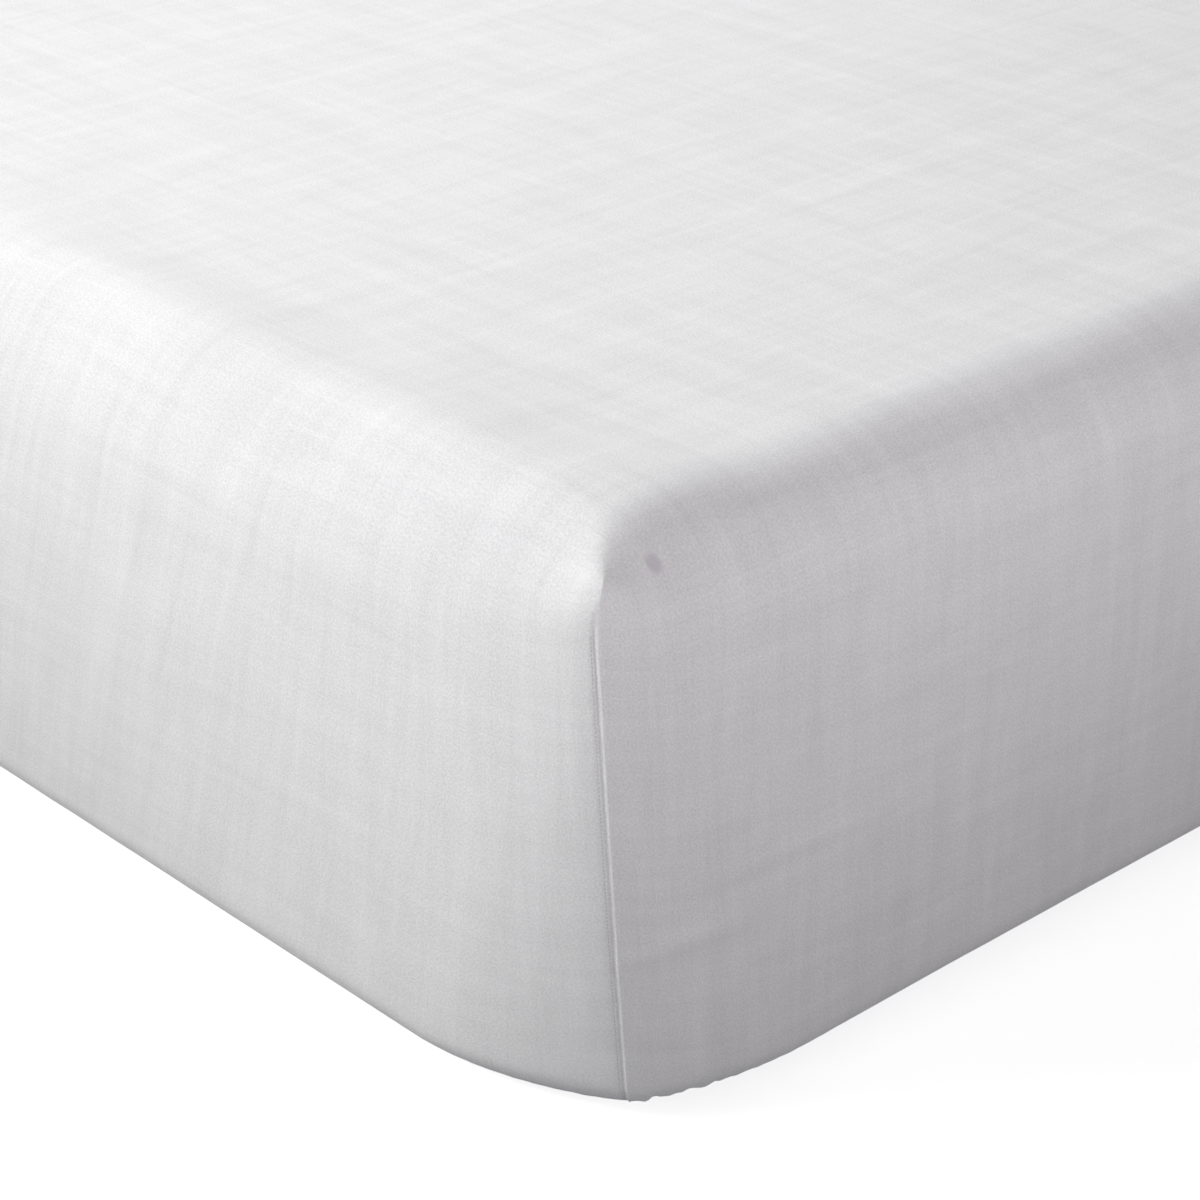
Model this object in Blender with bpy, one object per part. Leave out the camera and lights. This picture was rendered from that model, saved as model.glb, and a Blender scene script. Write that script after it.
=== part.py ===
"""A fitted sheet drawn over the mattress that it fits, in metres with +Z up.

The sheet is one cloth: a top panel, four sides sewn together at the corners, and a
hem that the elastic draws in under the mattress. The mattress is a plain padded block.
The origin is on the surface they rest on, under their middle. X runs across the bed
and Y along it, and the front is the short side at -Y.

Each solid starts as a box whose skin is ruled by straight lines. shape_box then rounds
its upright corners and its long edges, sag lets the top corners down, and swell adds the
soft unevenness of the cloth.
"""

from collections import namedtuple

import bpy
import numpy as np

# Outside sizes of the made-up mattress.
WIDTH = 1.52
LENGTH = 2.03
HEIGHT = 0.30

# The cloth, and how it goes under the mattress.
CLOTH_THICKNESS = 0.0015
FOOT_EDGE_RADIUS = 0.024
TUCKED_UNDER = 0.11
HEM_ROUNDING = 1.2

# The upright corners are tight at the top and drawn in by the elastic at the foot. X and
# Y say which corner. The reach is how far before the corner a side starts to turn, and
# the offset is how far the seam stands off the diagonal, plus towards the side at right
# or left. The rim is the radius of the top edge at the corner.
Corner = namedtuple("Corner", "x y top_reach foot_reach top_offset foot_offset rim sag")
CORNERS = (
    Corner(1, -1, 0.026, 0.138, -0.0035, 0.0110, 0.019, 0.0030),
    Corner(-1, -1, 0.030, 0.130, 0.0020, -0.0060, 0.022, 0.0020),
    Corner(1, 1, 0.028, 0.134, 0.0025, -0.0080, 0.021, 0.0025),
    Corner(-1, 1, 0.027, 0.138, -0.0020, 0.0070, 0.020, 0.0025),
)
TAPER = 1.1
LEAST_REACH = 1e-4
SAG_REACH = 0.10

# A side turns evenly through the spread angle, and the rest of the way close to the seam.
SPREAD_TURN = np.radians(30)
CREASE_WIDTH = 0.0055
CURVE_STEPS = 12

# The four sides. The top edge widens from its radius at the corners to the side's own
# rim within about two spans.
Side = namedtuple("Side", "axis sign rim span")
SIDES = {
    "right": Side(0, 1, 0.055, 0.048),
    "left": Side(0, -1, 0.052, 0.055),
    "back": Side(1, 1, 0.058, 0.060),
    "front": Side(1, -1, 0.064, 0.072),
}
BELLY = 0.002
NEAR_DIAGONAL = 0.030

# Soft swells of the cloth, first those of the rim and then those of the sides. Along is
# measured along the side from its middle, and up from the floor, over the edge and on
# across the top. Each fades out at its half length and its half height.
Swell = namedtuple("Swell", "side along half_length up half_up out rise")
SWELLS = (
    Swell("right", -0.950, 0.070, 0.330, 0.07, 0.0000, 0.0060),
    Swell("right", -0.855, 0.150, 0.320, 0.10, 0.0010, 0.0020),
    Swell("right", -0.300, 0.340, 0.310, 0.09, 0.0010, 0.0075),
    Swell("right", 0.450, 0.400, 0.315, 0.10, 0.0010, 0.0050),
    Swell("front", 0.620, 0.140, 0.330, 0.10, 0.0000, 0.0070),
    Swell("front", 0.380, 0.240, 0.315, 0.09, 0.0008, 0.0070),
    Swell("front", -0.250, 0.330, 0.320, 0.10, 0.0010, 0.0040),
    Swell("left", -0.450, 0.420, 0.315, 0.10, 0.0010, 0.0050),
    Swell("left", 0.400, 0.400, 0.320, 0.10, 0.0010, 0.0040),
    Swell("back", 0.150, 0.400, 0.320, 0.10, 0.0010, 0.0045),
    Swell("right", -0.870, 0.110, 0.060, 0.10, 0.0020, 0.0),
    Swell("right", -0.500, 0.300, 0.140, 0.13, 0.0030, 0.0),
    Swell("right", 0.200, 0.450, 0.130, 0.12, 0.0050, 0.0),
    Swell("front", 0.300, 0.280, 0.150, 0.13, 0.0020, 0.0),
    Swell("front", -0.300, 0.330, 0.140, 0.13, 0.0045, 0.0),
    Swell("left", 0.050, 0.500, 0.140, 0.13, 0.0050, 0.0),
    Swell("back", -0.200, 0.380, 0.140, 0.13, 0.0040, 0.0),
)

# The mattress lies this far inside the cloth, and its edges are a little rounder.
TOP_CLEARANCE = 0.0004
SIDE_CLEARANCE = 0.0020
MATTRESS_TUCK = 0.007

# Where lines cross the cloth, measured in from an edge, and the widest middle spacing.
RIM_LINES = (0.0, 0.0070, 0.0160, 0.0280, 0.0440, 0.0660)
FOOT_LINES = (0.0, 0.0080, 0.0160, 0.0260)
CORNER_LINES = (0.0880, TUCKED_UNDER, 0.1500)
CLOTH_SPACING = 0.14
UPRIGHT_SPACING = 0.06
MATTRESS_SPACING = 0.40


def ruled(low, high, near_low, near_high, spacing):
    """Places of the lines between low and high: close at both ends, even between."""
    first = low + near_low[-1]
    last = high - near_high[-1]
    count = int(np.ceil((last - first) / spacing))
    middle = np.linspace(first, last, count + 1)[1:-1]
    at_low = [low + step for step in near_low]
    at_high = [high - step for step in reversed(near_high)]
    return [*at_low, *middle, *at_high]


def skin_of_box(across, along, up, opening=0.0):
    """Points and outward quads of a ruled box. An opening leaves out the middle of its
    underside and keeps a border of that width."""
    points = []
    faces = []
    numbers = {}

    def number(i, j, k):
        if (i, j, k) not in numbers:
            numbers[i, j, k] = len(points)
            points.append((across[i], along[j], up[k]))
        return numbers[i, j, k]

    def quad(*corners):
        faces.append([number(*corner) for corner in corners])

    def is_open(i, j):
        middle_x = (across[i] + across[i + 1]) / 2
        middle_y = (along[j] + along[j + 1]) / 2
        inward = min(across[-1] - abs(middle_x), along[-1] - abs(middle_y))
        return opening > 0 and inward > opening

    m, n, top = len(across) - 1, len(along) - 1, len(up) - 1
    for i in range(m):
        for j in range(n):
            quad((i, j, top), (i + 1, j, top), (i + 1, j + 1, top), (i, j + 1, top))
            if not is_open(i, j):
                quad((i, j, 0), (i, j + 1, 0), (i + 1, j + 1, 0), (i + 1, j, 0))
    for k in range(top):
        for i in range(m):
            quad((i, 0, k), (i + 1, 0, k), (i + 1, 0, k + 1), (i, 0, k + 1))
            quad((i, n, k), (i, n, k + 1), (i + 1, n, k + 1), (i + 1, n, k))
        for j in range(n):
            quad((0, j, k), (0, j, k + 1), (0, j + 1, k + 1), (0, j + 1, k))
            quad((m, j, k), (m, j + 1, k), (m, j + 1, k + 1), (m, j, k + 1))
    return np.array(points), faces


def corner_value(points, name):
    """The named column of CORNERS for the quarter of the bed that each point is in."""
    value = np.zeros(len(points))
    for corner in CORNERS:
        here = (points[:, 0] * corner.x >= 0) & (points[:, 1] * corner.y >= 0)
        value[here] = getattr(corner, name)
    return value


def turn_at(share, reach):
    """How far a side has turned towards the corner at a share of the way to its seam."""
    sharpness = 0.7 * reach / CREASE_WIDTH
    return SPREAD_TURN * share + (np.pi / 4 - SPREAD_TURN) * share**sharpness


def corner_curve(share, reach):
    """Distance in from the side and along it, by adding up steps along the curve. The
    curve is as long as it takes to meet the other side's on the diagonal."""
    spots, weights = np.polynomial.legendre.leggauss(CURVE_STEPS)
    spots, weights = (spots + 1) / 2, weights / 2

    def add_up(end):
        turn = turn_at(np.multiply.outer(end, spots), reach[:, None])
        return (np.sin(turn) @ weights) * end, (np.cos(turn) @ weights) * end

    whole_in, whole_along = add_up(np.ones_like(share))
    length = reach / (whole_in + whole_along)
    inwards, along = add_up(share)
    return inwards * length, along * length


def smooth_step(share):
    """0 up to 0, 1 from 1, and a smooth rise between."""
    share = np.clip(share, 0, 1)
    return share**2 * (3 - 2 * share)


def rim_radius(points, half):
    """The radius of the top edge: each corner's own there, each side's own along it."""
    inward = half - np.abs(points[:, :2])
    long_side = smooth_step((inward[:, 1] - inward[:, 0]) / NEAR_DIAGONAL / 2 + 0.5)
    radii = []
    for name in ("rim", "span"):
        right, left, back, front = (getattr(side, name) for side in SIDES.values())
        beside = np.where(points[:, 0] > 0, right, left)
        ahead = np.where(points[:, 1] > 0, back, front)
        radii.append(ahead + (beside - ahead) * long_side)
    wide, span = radii
    tight = corner_value(points, "rim")
    return tight + (wide - tight) * (1 - np.exp(-inward.max(axis=1) / span))


def shape_box(points, half, low, high, tuck=0.0):
    """Rounds the upright corners of a box in plan and its long edges in section. A tuck
    rounds the long edges more. Gives the points, and the way out of the side at each."""
    side = np.where(points[:, :2] < 0, -1.0, 1.0)
    plan = np.abs(points[:, :2])
    height = points[:, 2]
    inward = np.clip((half - plan).min(axis=1), 0, None)
    fall = (high - height) / (high - low)

    tight = corner_value(points, "top_reach")
    wide = corner_value(points, "foot_reach")
    reach = tight + (wide - tight) * fall**TAPER
    reach = np.where(height >= high, reach - inward, reach + HEM_ROUNDING * inward)
    reach = np.clip(reach, LEAST_REACH, None)

    # The square that a corner takes from the plan is drawn onto the corner's curve.
    core = half - inward[:, None] - reach[:, None]
    past_x, past_y = np.clip(plan - core, 0, None).T
    share = np.minimum(past_x, past_y) / np.maximum(np.maximum(past_x, past_y), 1e-9)
    turn = turn_at(share, reach)
    curve_in, curve_along = corner_curve(share, reach)
    first = (past_x >= past_y)[:, None]
    rounded = np.stack([reach - curve_in, curve_along], axis=1)
    outward = np.stack([np.cos(turn), np.sin(turn)], axis=1)
    rounded = np.where(first, rounded, rounded[:, ::-1])
    outward = np.where(first, outward, outward[:, ::-1])
    plan = np.minimum(plan, core) + rounded

    top_offset = corner_value(points, "top_offset")
    foot_offset = corner_value(points, "foot_offset")
    offset = (top_offset + (foot_offset - top_offset) * fall) * share**2
    plan += offset[:, None] * np.array([np.sqrt(0.5), -np.sqrt(0.5)])

    # In section each sharp edge is drawn towards the centre of its arc.
    edge = np.where(fall < 0.5, rim_radius(points, half), FOOT_EDGE_RADIUS) + tuck
    centre_in = np.maximum(inward, edge)
    centre_up = np.clip(height, low + edge, high - edge)
    out_of_centre = np.hypot(inward - centre_in, height - centre_up)
    tilt_out = (centre_in - inward) / out_of_centre
    tilt_up = (height - centre_up) / out_of_centre
    plan += outward * (inward - centre_in + edge * tilt_out)[:, None]
    level = centre_up + edge * tilt_up
    plan += outward * (BELLY * np.sin(np.pi * (level - low) / (high - low)))[:, None]
    return np.column_stack([side * plan, level]), side * outward


def bump(distance, half_width):
    """A soft rise from 0 at half_width to 1 in the middle."""
    share = np.clip(np.abs(distance) / half_width, 0, 1)
    return (1 + np.cos(np.pi * share)) / 2


def sag(points, shaped, half, high):
    """Lets the top corners down a little, where the cloth is pulled tight over them."""
    from_corner = np.hypot(*(half - np.abs(points[:, :2])).T) / SAG_REACH
    down = (high - points[:, 2]) / SAG_REACH
    lower = shaped.copy()
    lower[:, 2] -= corner_value(points, "sag") * np.exp(-(from_corner**2) - down**2)
    return lower


def swell(points, shaped, outward, half, high):
    """Adds the soft swells of the cloth's rim and of its sides."""
    height = points[:, 2]
    moved = shaped.copy()
    for row in SWELLS:
        axis, sign = SIDES[row.side].axis, SIDES[row.side].sign
        inward = half[axis] - sign * points[:, axis]
        up = np.where(height >= high, high + inward, height)
        up = np.where(height <= 0, -inward, up)
        on_side = (inward <= 0) | (height >= high) | (height <= 0)
        amount = bump(points[:, 1 - axis] - row.along, row.half_length)
        amount = amount * bump(up - row.up, row.half_up) * on_side
        moved[:, :2] += outward * (row.out * amount)[:, None]
        moved[:, 2] += row.rise * amount
    return moved


def solid(name, points, faces, colour, roughness):
    """A smooth-shaded object with a material of its own."""
    mesh = bpy.data.meshes.new(name)
    mesh.from_pydata(points.tolist(), [], faces)
    mesh.shade_smooth()
    material = bpy.data.materials.new(name)
    material.use_nodes = True
    finish = material.node_tree.nodes["Principled BSDF"].inputs
    finish["Base Color"].default_value = (*colour, 1.0)
    finish["Roughness"].default_value = roughness
    mesh.materials.append(material)
    made = bpy.data.objects.new(name, mesh)
    bpy.context.scene.collection.objects.link(made)
    return made


def make_sheet():
    """The whole fitted sheet as one cloth, open under the middle of the mattress."""
    half = np.array([WIDTH, LENGTH]) / 2
    ends = (*RIM_LINES, *CORNER_LINES)
    across = ruled(-half[0], half[0], ends, ends, CLOTH_SPACING)
    along = ruled(-half[1], half[1], ends, ends, CLOTH_SPACING)
    up = ruled(0, HEIGHT, FOOT_LINES, RIM_LINES, UPRIGHT_SPACING)
    points, faces = skin_of_box(across, along, up, opening=TUCKED_UNDER)
    shaped, outward = shape_box(points, half, 0, HEIGHT)
    shaped = sag(points, shaped, half, HEIGHT)
    shaped = swell(points, shaped, outward, half, HEIGHT)
    sheet = solid("sheet", shaped, faces, (0.86, 0.86, 0.87), 0.9)
    cloth = sheet.modifiers.new("cloth thickness", "SOLIDIFY")
    cloth.thickness = CLOTH_THICKNESS
    cloth.offset = -1
    cloth.use_even_offset = True


def make_mattress():
    """The plain padded block inside, shaped like the sheet and a little rounder."""
    gap = CLOTH_THICKNESS + SIDE_CLEARANCE
    half = np.array([WIDTH, LENGTH]) / 2 - gap
    low = CLOTH_THICKNESS + TOP_CLEARANCE
    high = HEIGHT - low
    ends = (*RIM_LINES, *CORNER_LINES)
    across = ruled(-half[0], half[0], ends, ends, MATTRESS_SPACING)
    along = ruled(-half[1], half[1], ends, ends, MATTRESS_SPACING)
    up = ruled(low, high, FOOT_LINES, RIM_LINES, UPRIGHT_SPACING)
    points, faces = skin_of_box(across, along, up)
    shaped, _ = shape_box(points, half, low, high, MATTRESS_TUCK)
    shaped = sag(points, shaped, half, high)
    solid("mattress", shaped, faces, (0.80, 0.79, 0.77), 0.8)


for thing in list(bpy.data.objects):
    bpy.data.objects.remove(thing, do_unlink=True)
make_sheet()
make_mattress()
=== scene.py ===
# %% [markdown]
# # A white fitted sheet, drawn over a deep mattress
#
# A fitted sheet is one big rectangle of cotton with a square cut out of each corner.
# The cut edges are sewn together into four upright seams, and the rim is turned over
# an elastic that draws it in under the mattress. What the eye reads is a soft slab:
# a nearly flat top, rounded edges, corners that are tight at the top and gathered at
# the foot, and one thin seam down each corner.
#
# The shape is worked out point by point with numpy, because the cloth is stretched
# over a known block: a formula puts every thread where it belongs, and a cloth
# simulation would only blur it.

# %% Load the frame
import math
from collections import namedtuple

import bmesh
import bpy
import numpy as np
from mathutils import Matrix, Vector, noise


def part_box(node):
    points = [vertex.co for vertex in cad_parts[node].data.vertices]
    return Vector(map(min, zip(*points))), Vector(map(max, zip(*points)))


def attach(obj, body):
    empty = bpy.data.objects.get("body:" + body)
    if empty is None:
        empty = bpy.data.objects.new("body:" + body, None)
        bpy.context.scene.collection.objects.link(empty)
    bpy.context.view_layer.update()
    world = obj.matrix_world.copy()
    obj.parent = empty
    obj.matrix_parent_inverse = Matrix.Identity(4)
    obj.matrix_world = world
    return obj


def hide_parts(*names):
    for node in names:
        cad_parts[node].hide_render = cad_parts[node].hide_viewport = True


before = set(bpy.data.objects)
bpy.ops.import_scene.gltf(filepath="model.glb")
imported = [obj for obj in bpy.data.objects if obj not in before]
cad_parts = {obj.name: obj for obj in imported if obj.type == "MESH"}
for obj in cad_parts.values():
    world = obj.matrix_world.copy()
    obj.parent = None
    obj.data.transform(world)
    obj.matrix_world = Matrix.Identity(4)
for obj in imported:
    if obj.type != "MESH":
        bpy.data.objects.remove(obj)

scene = bpy.context.scene
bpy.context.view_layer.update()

# %% [markdown]
# ## Sizes
#
# The bed lies with its middle over the origin: X runs across it, Y along it and +Z is
# up. The corner in the photograph is the one at +X and -Y, so its left side there is
# the front of the bed, at -Y, and its right side is the long side at +X. These are the
# sizes that the solids were made to, written again here in metres. A few of them, near
# the upper corners, were tuned by some millimetres after the solids were made.

# %% The bed and its cloth
WIDTH = 1.52
LENGTH = 2.03
HEIGHT = 0.30
HALF = np.array([WIDTH, LENGTH]) / 2

CLOTH_THICKNESS = 0.0015
FOOT_EDGE_RADIUS = 0.024
TUCKED_UNDER = 0.11
HEM_ROUNDING = 1.2

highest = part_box("sheet")[1][2]
print("the sheet's solid stands", highest - HEIGHT, "m over its nominal height at most")

# %% The four corners
# A corner's side starts to turn at its reach, and its seam stands off the diagonal by
# an offset, plus towards the side at right or left. The head is one more push of that
# kind, round the top edge only. The rim is tight at the corner and sags a little there.
Corner = namedtuple("Corner", "x y top_reach foot_reach top_offset foot_offset head rim sag")
CORNERS = (
    Corner(1, -1, 0.026, 0.138, -0.0035, 0.0110, 0.0045, 0.019, 0.0030),
    Corner(-1, -1, 0.030, 0.130, 0.0020, -0.0060, -0.0030, 0.022, 0.0020),
    Corner(1, 1, 0.028, 0.134, 0.0025, -0.0080, 0.0025, 0.021, 0.0025),
    Corner(-1, 1, 0.027, 0.138, -0.0020, 0.0070, -0.0030, 0.020, 0.0025),
)
# A head's push is strongest this far past the top edge, where minus is on the top. It
# fades out within the half width, and away from the seam as this power of the share.
HEAD_MIDDLE = -0.004
HEAD_HALF_WIDTH = 0.036
HEAD_POWER = 4
# The reach grows from the top to the foot as this power of the fall.
TAPER = 1.1
LEAST_REACH = 1e-4
# A side turns evenly through the spread, and the rest of the way in the crease.
TOP_SPREAD = math.radians(8)
FOOT_SPREAD = math.radians(32)
CREASE_WIDTH = 0.0062
CREASE_SHARPNESS = 0.7
CURVE_STEPS = 12
SAG_REACH = 0.10
print("reaches at the top of the corners:", [corner.top_reach for corner in CORNERS])

# %% The four sides
# The rim of a side widens from its corners' radius to its own within about two spans.
Side = namedtuple("Side", "axis sign rim span")
SIDES = {
    "right": Side(0, 1, 0.055, 0.048),
    "left": Side(0, -1, 0.052, 0.055),
    "back": Side(1, 1, 0.058, 0.060),
    "front": Side(1, -1, 0.064, 0.072),
}
# A side stands out by the belly at half its height. Near a corner's diagonal, the rim
# passes from one side's values to the other's.
BELLY = 0.002
NEAR_DIAGONAL = 0.030
print("rim radii of the sides:", {name: side.rim for name, side in SIDES.items()})

# %% Soft swells of the rim, and of the sides
# Along and up are a place on the side, in metres. Up goes on over the edge, across the
# top. Out and rise are how far the cloth is moved out of the side, and upwards.
Swell = namedtuple("Swell", "side along half_length up half_up out rise")
SWELLS = (
    Swell("right", -0.950, 0.070, 0.345, 0.085, 0.0000, 0.0065),
    Swell("right", -0.855, 0.150, 0.320, 0.10, 0.0010, 0.0020),
    Swell("right", -0.300, 0.340, 0.310, 0.09, 0.0010, 0.0075),
    Swell("right", 0.450, 0.400, 0.315, 0.10, 0.0010, 0.0050),
    Swell("front", 0.620, 0.140, 0.330, 0.10, 0.0000, 0.0070),
    Swell("front", 0.380, 0.240, 0.315, 0.09, 0.0008, 0.0070),
    Swell("front", -0.250, 0.330, 0.320, 0.10, 0.0010, 0.0040),
    Swell("left", -0.450, 0.420, 0.315, 0.10, 0.0010, 0.0050),
    Swell("left", 0.400, 0.400, 0.320, 0.10, 0.0010, 0.0040),
    Swell("back", 0.150, 0.400, 0.320, 0.10, 0.0010, 0.0045),
    Swell("right", -0.870, 0.110, 0.060, 0.10, 0.0020, 0.0),
    Swell("right", -0.500, 0.300, 0.140, 0.13, 0.0030, 0.0),
    Swell("right", 0.200, 0.450, 0.130, 0.12, 0.0050, 0.0),
    Swell("front", 0.300, 0.280, 0.150, 0.13, 0.0020, 0.0),
    Swell("front", -0.300, 0.330, 0.140, 0.13, 0.0045, 0.0),
    Swell("left", 0.050, 0.500, 0.140, 0.13, 0.0050, 0.0),
    Swell("back", -0.200, 0.380, 0.140, 0.13, 0.0040, 0.0),
)
print(len(SWELLS), "swells, the highest", max(row.rise for row in SWELLS), "m")

# %% [markdown]
# ## The camera
#
# The lines of the corner say how it was seen: its upright edge hardly leans, so the
# picture was taken with a long lens from a little above, looking across the corner
# from almost equally far round both sides. A 100 mm lens, 1.35 m away, fits all of them.
# The camera could be turned by hand until it looks right, but with its place and turn as
# named values it can be fitted to the three edges one value at a time.

# %% Place the camera
LENS_MM = 100.0
SENSOR_MM = 36.0
CAMERA_FROM_CORNER = Vector((0.890, -0.820, 0.595))
LOOK_DOWN = math.radians(26.6)
LOOK_ROUND = math.radians(47.35)

photographed_corner = Vector((WIDTH / 2, -LENGTH / 2, HEIGHT))
camera_data = bpy.data.cameras.new("camera")
camera_data.lens = LENS_MM
camera_data.sensor_width = SENSOR_MM
camera = bpy.data.objects.new("camera", camera_data)
scene.collection.objects.link(camera)
scene.camera = camera
camera.rotation_euler = (math.pi / 2 - LOOK_DOWN, 0, LOOK_ROUND)
camera.location = photographed_corner + CAMERA_FROM_CORNER
print("camera stands", CAMERA_FROM_CORNER.length, "m from the corner")

# %% [markdown]
# ## A ruled box for the cloth
#
# The cloth starts as the skin of a plain box, ruled by straight lines along its three
# axes, with the middle of the underside left open. A subdivided cube would spread its
# points evenly. Here the lines stand close where the shape is fine, as at the seams and
# along the photographed corner, and far apart on the flat of the bed, so that the points
# go where they are seen.

# %% Where the lines run
# Each table gives the step between lines at some distances from one end of an axis.
Spacing = namedtuple("Spacing", "distance step")
TRIAL_PLACES = 20001
PHOTOGRAPHED_END = Spacing(
    (0.0, 0.0030, 0.0060, 0.0300, 0.1200, 0.4600, 0.6000),
    (0.0005, 0.0006, 0.0022, 0.0034, 0.0046, 0.0085, 0.0300),
)
ACROSS_THE_PINCH = Spacing(
    (0.0, 0.0030, 0.0060, 0.0300, 0.0340, 0.0360, 0.0430, 0.0450, 0.1200, 0.4600, 0.6000),
    (0.0005, 0.0006, 0.0022, 0.0034, 0.0034, 0.0014, 0.0014, 0.0035, 0.0046, 0.0085, 0.0300),
)
OTHER_END = Spacing(
    (0.0, 0.0030, 0.0060, 0.0300, 0.1300, 0.2200),
    (0.0005, 0.0006, 0.0025, 0.0048, 0.0075, 0.0260),
)
UPRIGHT_TOP = Spacing((0.0, 0.0300, 0.0600, 0.0800), (0.0026, 0.0034, 0.0070, 0.0120))
ACROSS_CREASES = Spacing(
    (0.0, 0.0300, 0.0600, 0.0850, 0.0920, 0.1380, 0.1450),
    (0.0026, 0.0034, 0.0070, 0.0070, 0.0042, 0.0042, 0.0120),
)


def graded(low, high, low_end, high_end):
    """Places of lines from low to high, as close as the tables for the ends say."""
    place = np.linspace(low, high, TRIAL_PLACES)
    step = np.minimum(
        np.interp(place - low, low_end.distance, low_end.step),
        np.interp(high - place, high_end.distance, high_end.step),
    )
    passed = np.cumsum(1 / step) * (place[1] - place[0])
    passed -= passed[0]
    return np.interp(np.linspace(0, passed[-1], round(passed[-1]) + 1), passed, place)


lines_across = graded(-HALF[0], HALF[0], OTHER_END, PHOTOGRAPHED_END)
lines_along = graded(-HALF[1], HALF[1], ACROSS_THE_PINCH, OTHER_END)
lines_up = graded(0, HEIGHT, ACROSS_CREASES, UPRIGHT_TOP)
print("lines:", len(lines_across), "across,", len(lines_along), "along,", len(lines_up), "up")

# %% The skin of a ruled box
TOP, UNDER, FRONT, BACK, LEFT, RIGHT = range(6)


def skin_of_box(across, along, up, opening=0.0):
    """Points, outward quads, and the panel of each quad. An opening leaves out the middle
    of the underside and keeps a border of that width."""
    points = []
    faces = []
    panels = []
    numbers = {}

    def number(i, j, k):
        if (i, j, k) not in numbers:
            numbers[i, j, k] = len(points)
            points.append((across[i], along[j], up[k]))
        return numbers[i, j, k]

    def quad(panel, *corners):
        faces.append([number(*corner) for corner in corners])
        panels.append(panel)

    m, n, top = len(across) - 1, len(along) - 1, len(up) - 1
    border_x = np.minimum(across[-1] - np.abs(across[:-1]), across[-1] - np.abs(across[1:]))
    border_y = np.minimum(along[-1] - np.abs(along[:-1]), along[-1] - np.abs(along[1:]))
    for i in range(m):
        for j in range(n):
            quad(TOP, (i, j, top), (i + 1, j, top), (i + 1, j + 1, top), (i, j + 1, top))
            if opening == 0 or min(border_x[i], border_y[j]) < opening:
                quad(UNDER, (i, j, 0), (i, j + 1, 0), (i + 1, j + 1, 0), (i + 1, j, 0))
    for k in range(top):
        for i in range(m):
            quad(FRONT, (i, 0, k), (i + 1, 0, k), (i + 1, 0, k + 1), (i, 0, k + 1))
            quad(BACK, (i, n, k), (i, n, k + 1), (i + 1, n, k + 1), (i + 1, n, k))
        for j in range(n):
            quad(LEFT, (0, j, k), (0, j, k + 1), (0, j + 1, k + 1), (0, j + 1, k))
            quad(RIGHT, (m, j, k), (m, j + 1, k), (m, j + 1, k + 1), (m, j, k + 1))
    return np.array(points), np.array(faces), np.array(panels)


# %% [markdown]
# ## Round the box, and let the cloth be uneven
#
# Two roundings make the slab. In plan, each side turns towards its corner, evenly at
# first and then in a crease at the seam, within a short way at the top and a long one at
# the foot. In section, each long edge is drawn onto an arc. A bevel would round every
# edge alike, so formulas do it here, with values for each corner and side. The cloth
# then sags at the top corners, where it is pulled tight, and swells softly along the rim
# and down the sides.

# %% The turn at a corner
def corner_value(points, name):
    """The named column of CORNERS for the quarter of the bed that each point is in."""
    value = np.zeros(len(points))
    for corner in CORNERS:
        here = (points[:, 0] * corner.x >= 0) & (points[:, 1] * corner.y >= 0)
        value[here] = getattr(corner, name)
    return value


def turn_at(share, reach, spread):
    """How far a side has turned towards the corner at a share of the way to its seam: the
    spread turn is taken evenly, and the rest in the crease at the seam."""
    sharpness = CREASE_SHARPNESS * reach / CREASE_WIDTH
    return spread * share + (np.pi / 4 - spread) * share**sharpness


def corner_curve(share, reach, spread):
    """Distance in from the side and along it, by adding up steps along the curve. The
    curve is as long as it takes to meet the other side's on the diagonal."""
    spots, weights = np.polynomial.legendre.leggauss(CURVE_STEPS)
    spots, weights = (spots + 1) / 2, weights / 2

    def add_up(end):
        turn = turn_at(np.multiply.outer(end, spots), reach[:, None], spread[:, None])
        return (np.sin(turn) @ weights) * end, (np.cos(turn) @ weights) * end

    whole_in, whole_along = add_up(np.ones_like(share))
    length = reach / (whole_in + whole_along)
    inwards, along = add_up(share)
    return inwards * length, along * length


# %% The radius of the rim
def smooth_step(share):
    """0 up to 0, 1 from 1, and a smooth rise between."""
    share = np.clip(share, 0, 1)
    return share**2 * (3 - 2 * share)


def rim_radius(points, half):
    """The radius of the top edge: each corner's own there, each side's own along it."""
    inward = half - np.abs(points[:, :2])
    long_side = smooth_step((inward[:, 1] - inward[:, 0]) / NEAR_DIAGONAL / 2 + 0.5)
    radii = []
    for name in ("rim", "span"):
        right, left, back, front = (getattr(side, name) for side in SIDES.values())
        beside = np.where(points[:, 0] > 0, right, left)
        ahead = np.where(points[:, 1] > 0, back, front)
        radii.append(ahead + (beside - ahead) * long_side)
    wide, span = radii
    tight = corner_value(points, "rim")
    return tight + (wide - tight) * (1 - np.exp(-inward.max(axis=1) / span))


# %% Corner and edge rounding
def bump(distance, half_width):
    """A soft rise from 0 at half_width to 1 in the middle."""
    share = np.clip(np.abs(distance) / half_width, 0, 1)
    return (1 + np.cos(np.pi * share)) / 2


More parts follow.
